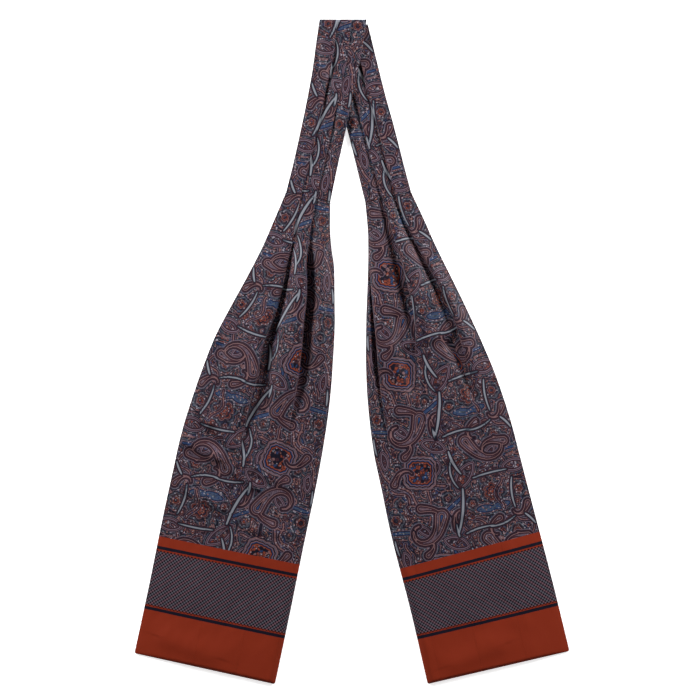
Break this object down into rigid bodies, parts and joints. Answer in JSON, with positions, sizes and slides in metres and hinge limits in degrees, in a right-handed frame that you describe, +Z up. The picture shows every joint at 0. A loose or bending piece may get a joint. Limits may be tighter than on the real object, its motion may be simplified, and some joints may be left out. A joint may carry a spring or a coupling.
{
  "type": "silk cravat",
  "caption": "Printed silk cravat laid flat: wide blades open out in soft folds below a narrow pleated neckband that is folded in half.",
  "frame": {"origin": "centre of the underside's bounding box, on the surface that the cravat lies on", "axes": "+Y from the hems to the fold behind the neck, +X to the right seen from above, +Z up off the surface"},
  "size_m": [0.4182, 0.6406, 0.011],
  "materials": {
    "printed_silk": "satin"
  },
  "bodies": {
    "root": {"blade_left_front": "printed_silk", "blade_left_back": "printed_silk", "blade_right_front": "printed_silk", "blade_right_back": "printed_silk", "neckband_upper": "printed_silk", "neckband_lower": "printed_silk"}
  },
  "joints": []
}
